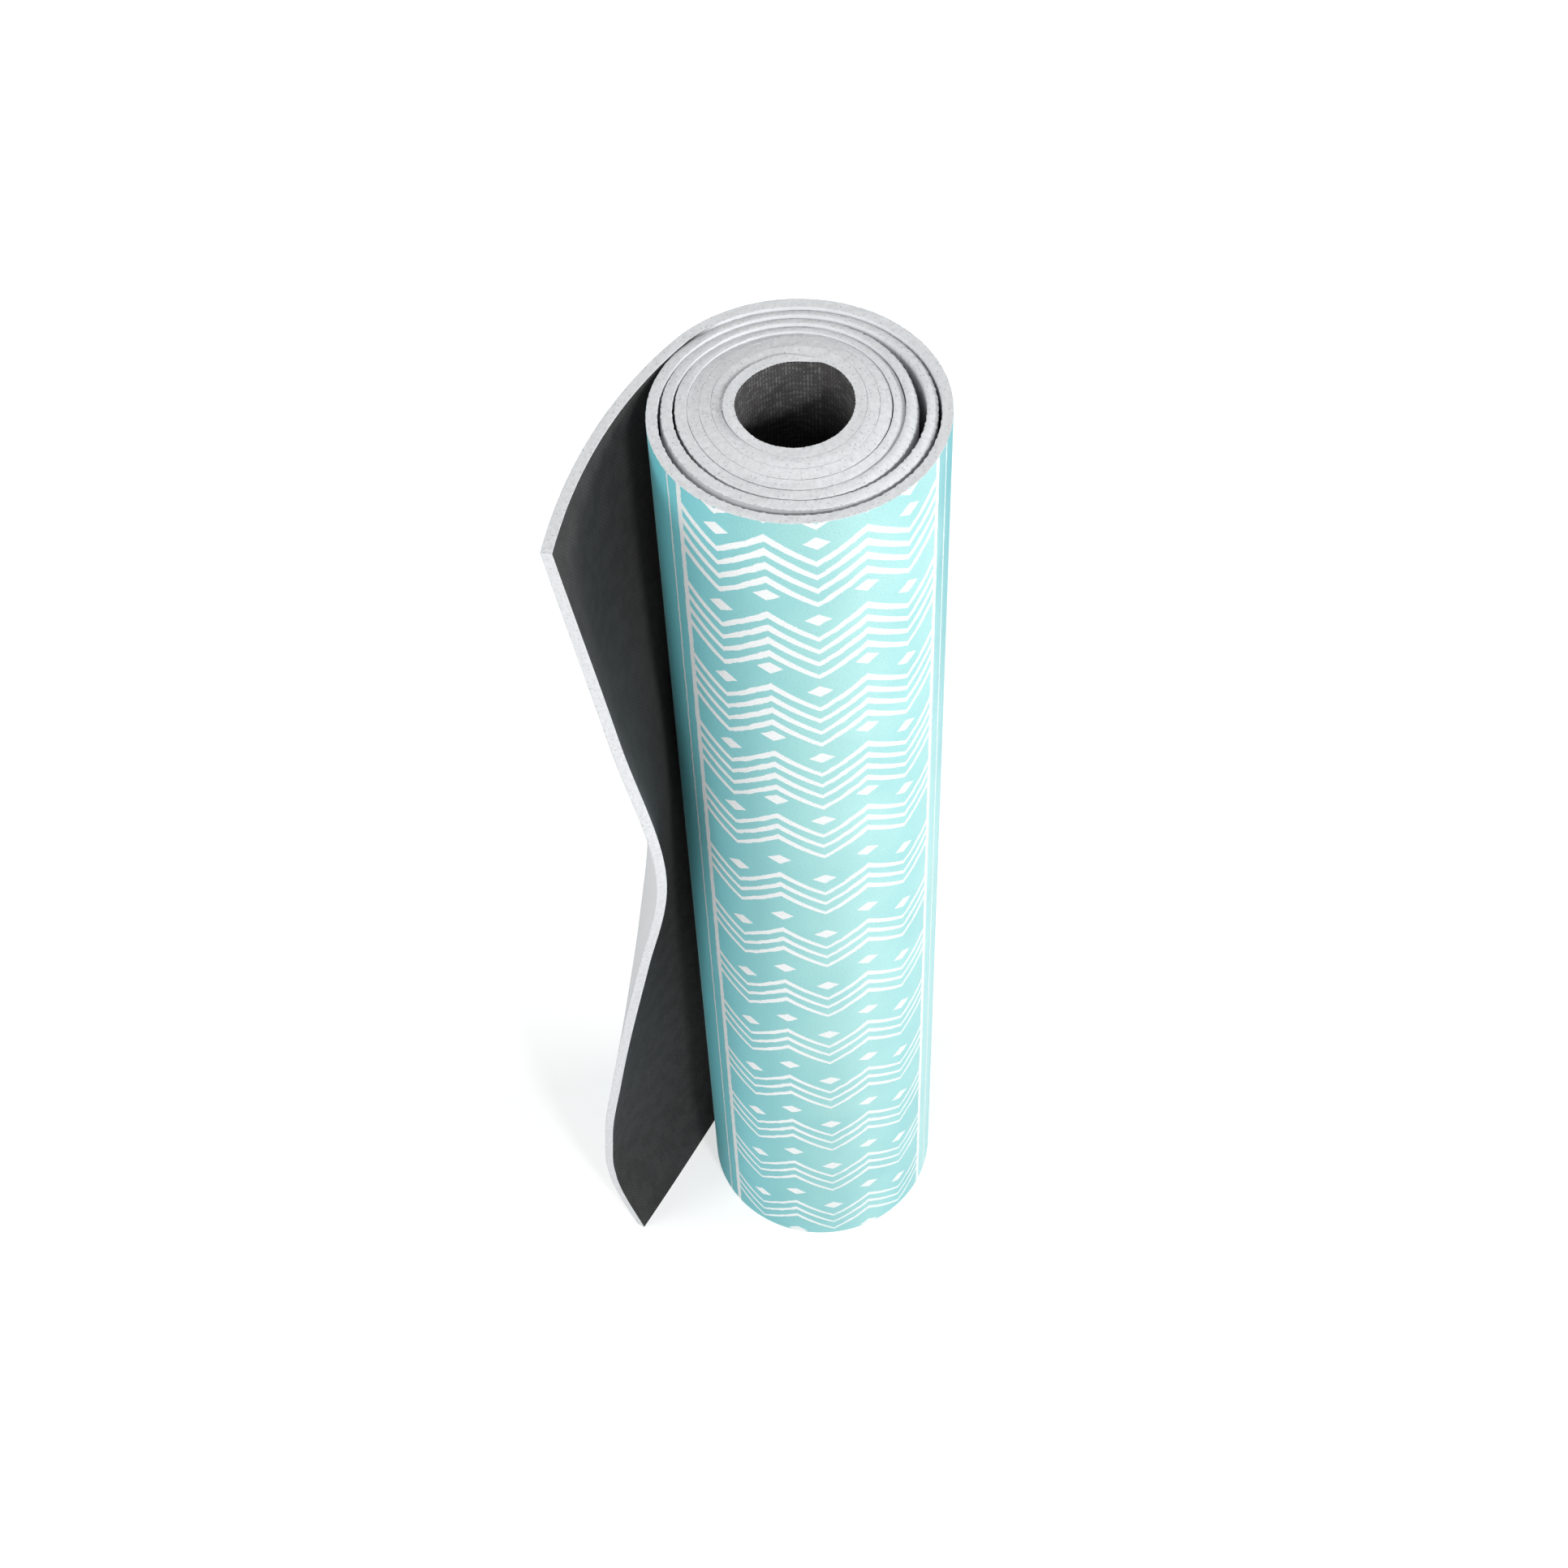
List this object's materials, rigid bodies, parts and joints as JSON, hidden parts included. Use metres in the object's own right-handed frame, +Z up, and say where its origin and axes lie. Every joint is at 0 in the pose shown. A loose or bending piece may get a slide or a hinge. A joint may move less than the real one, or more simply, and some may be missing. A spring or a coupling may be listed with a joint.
{
  "type": "rolled yoga mat",
  "caption": "Printed foam yoga mat wound into a loose roll that stands on end, with its free end hanging open beside the roll.",
  "frame": {"origin": "middle of the footprint, on the floor that the roll stands on", "axes": "+Z up along the roll's axis; the free end hangs towards -X and -Y"},
  "size_m": [0.1854, 0.1428, 0.613],
  "materials": {
    "printed_surface": "matte printed film with a fine grain, aqua with white line work",
    "foam_core": "light grey closed-cell foam, cut edge with fine pits",
    "grip_base": "charcoal grip side with a fine woven texture"
  },
  "bodies": {
    "roll": {"roll_printed_surface": "printed_surface", "roll_foam_core": "foam_core", "roll_grip_base": "grip_base"},
    "free_end": {"free_end_printed_surface": "printed_surface", "free_end_foam_core": "foam_core", "free_end_grip_base": "grip_base"}
  },
  "joints": [
    {"name": "free_end_swing", "type": "hinge", "parent": "roll", "child": "free_end", "pos_m": [-0.02069, 0.05015, 0.305], "axis": [0, 0, -1], "range_deg": [0, 60], "stiffness_Nm_per_rad": 0.09}
  ]
}
